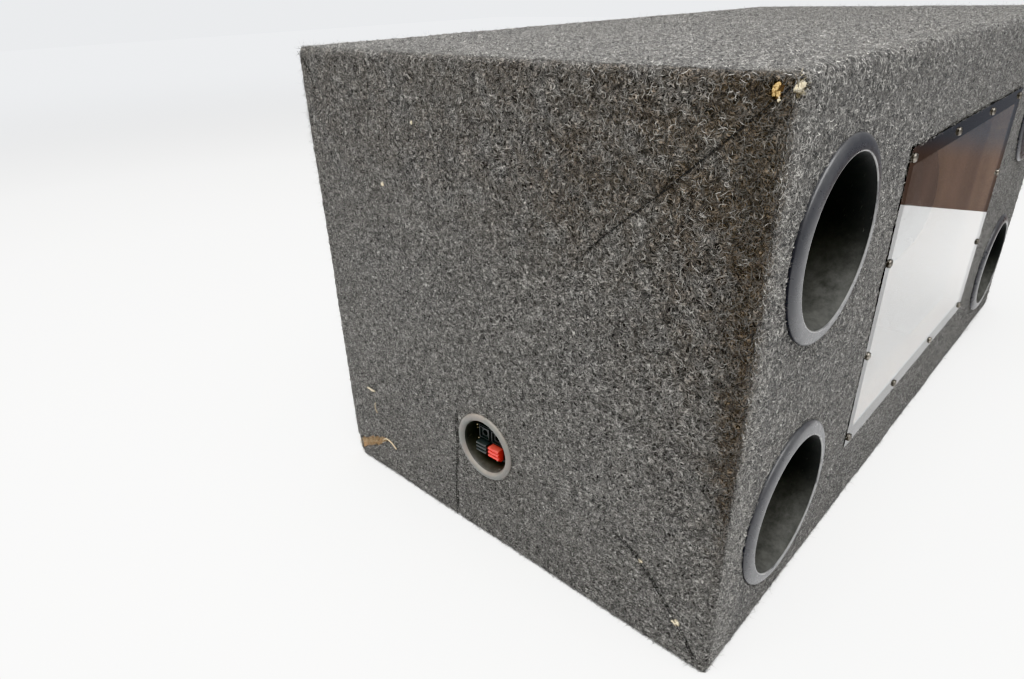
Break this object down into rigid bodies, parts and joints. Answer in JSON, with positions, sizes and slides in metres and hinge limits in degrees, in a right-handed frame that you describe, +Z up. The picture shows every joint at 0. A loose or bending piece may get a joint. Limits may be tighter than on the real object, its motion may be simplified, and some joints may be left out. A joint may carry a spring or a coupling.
{
  "type": "car subwoofer enclosure",
  "caption": "Carpeted fibreboard band-pass cabinet with flared front ports, a clear screwed window over inward drivers, and recessed spring terminals in its ends.",
  "frame": {"origin": "on the floor, under the middle of the whole part's bounding box", "axes": "+Z up; the ports and window face -Y; +X runs along the long side, and the end whose terminal cup the picture shows is at -X"},
  "size_m": [0.85, 0.421, 0.406],
  "materials": {
    "mdf": "raw fibreboard, matt",
    "carpet": "heathered charcoal needle-punch carpet",
    "acrylic": "clear, polished",
    "gasket_foam": "black closed-cell foam",
    "zinc_screw": "zinc-plated, satin",
    "black_screw": "black oxide, satin",
    "port_plastic": "satin dark grey with dust",
    "tube_plastic": "black, matt, dusty",
    "cup_plastic": "satin grey-black, dusty",
    "block_plastic": "black, semi-gloss",
    "lever_red": "red, semi-gloss",
    "lever_black": "black, semi-gloss",
    "brass": "bright",
    "spring_steel": "bright wire",
    "lead_red": "red insulation, satin",
    "lead_black": "black insulation, satin",
    "basket_paint": "black, fine texture",
    "surround_foam": "black foam, matt",
    "cone_paper": "black pressed paper",
    "dust_cap": "black, satin",
    "coil_copper": "enamelled copper on a brown former",
    "spider_cloth": "amber resin-dipped cloth",
    "ferrite": "dark grey, matt",
    "plate_steel": "zinc-plated, satin",
    "strip_board": "brown phenolic board, brass tabs",
    "tinsel": "braided copper"
  },
  "bodies": {
    "cabinet": {"panel_bottom": "mdf", "panel_top": "mdf", "panel_left_end": "mdf", "panel_right_end": "mdf", "panel_back": "mdf", "front_baffle": "mdf", "partition_left": "mdf", "partition_right": "mdf", "carpet_bottom": "carpet", "carpet_wrap": "carpet", "carpet_left_end": "carpet", "carpet_right_end": "carpet", "window_panel": "acrylic", "window_gasket": "gasket_foam", "window_screws": "zinc_screw", "port_flare_top_left": "port_plastic", "port_tube_top_left": "tube_plastic", "port_flare_top_right": "port_plastic", "port_tube_top_right": "tube_plastic", "port_flare_bottom_left": "port_plastic", "port_tube_bottom_left": "tube_plastic", "port_flare_bottom_right": "port_plastic", "port_tube_bottom_right": "tube_plastic", "terminal_cup_left": "cup_plastic", "terminal_block_left": "block_plastic", "lever_spring_red_left": "spring_steel", "lever_spring_black_left": "spring_steel", "basket_left": "basket_paint", "surround_left": "surround_foam", "spider_left": "spider_cloth", "magnet_left": "ferrite", "terminal_cup_right": "cup_plastic", "terminal_block_right": "block_plastic", "lever_spring_red_right": "spring_steel", "lever_spring_black_right": "spring_steel", "basket_right": "basket_paint", "surround_right": "surround_foam", "spider_right": "spider_cloth", "magnet_right": "ferrite", "terminal_block_screws": "zinc_screw", "contact_plates": "brass", "leads_red": "lead_red", "leads_black": "lead_black", "lead_connectors": "brass", "top_plates": "plate_steel", "yokes": "plate_steel", "driver_gaskets": "gasket_foam", "driver_screws": "black_screw", "driver_terminals": "strip_board", "tinsel_leads": "tinsel"},
    "cone_assembly_left": {"cone_left": "cone_paper", "dust_cap_left": "dust_cap", "voice_coil_left": "coil_copper"},
    "push_lever_red_left": {"lever_red_left": "lever_red"},
    "push_lever_black_left": {"lever_black_left": "lever_black"},
    "cone_assembly_right": {"cone_right": "cone_paper", "dust_cap_right": "dust_cap", "voice_coil_right": "coil_copper"},
    "push_lever_red_right": {"lever_red_right": "lever_red"},
    "push_lever_black_right": {"lever_black_right": "lever_black"}
  },
  "joints": [
    {"name": "cone_travel_left", "type": "slide", "parent": "cabinet", "child": "cone_assembly_left", "axis": [-1, 0, 0], "range_m": [-0.008, 0.008], "stiffness_N_per_m": 4000, "deforming": ["surround_left", "spider_left", "tinsel_leads"]},
    {"name": "cone_travel_right", "type": "slide", "parent": "cabinet", "child": "cone_assembly_right", "axis": [1, 0, 0], "range_m": [-0.008, 0.008], "stiffness_N_per_m": 4000, "deforming": ["surround_right", "spider_right", "tinsel_leads"]},
    {"name": "press_red_left", "type": "slide", "parent": "cabinet", "child": "push_lever_red_left", "axis": [1, 0, 0], "range_m": [0, 0.004], "stiffness_N_per_m": 600, "springref_m": -0.002, "deforming": ["lever_spring_red_left"]},
    {"name": "press_black_left", "type": "slide", "parent": "cabinet", "child": "push_lever_black_left", "axis": [1, 0, 0], "range_m": [0, 0.004], "stiffness_N_per_m": 600, "springref_m": -0.002, "deforming": ["lever_spring_black_left"]},
    {"name": "press_red_right", "type": "slide", "parent": "cabinet", "child": "push_lever_red_right", "axis": [-1, 0, 0], "range_m": [0, 0.004], "stiffness_N_per_m": 600, "springref_m": -0.002, "deforming": ["lever_spring_red_right"]},
    {"name": "press_black_right", "type": "slide", "parent": "cabinet", "child": "push_lever_black_right", "axis": [-1, 0, 0], "range_m": [0, 0.004], "stiffness_N_per_m": 600, "springref_m": -0.002, "deforming": ["lever_spring_black_right"]}
  ]
}
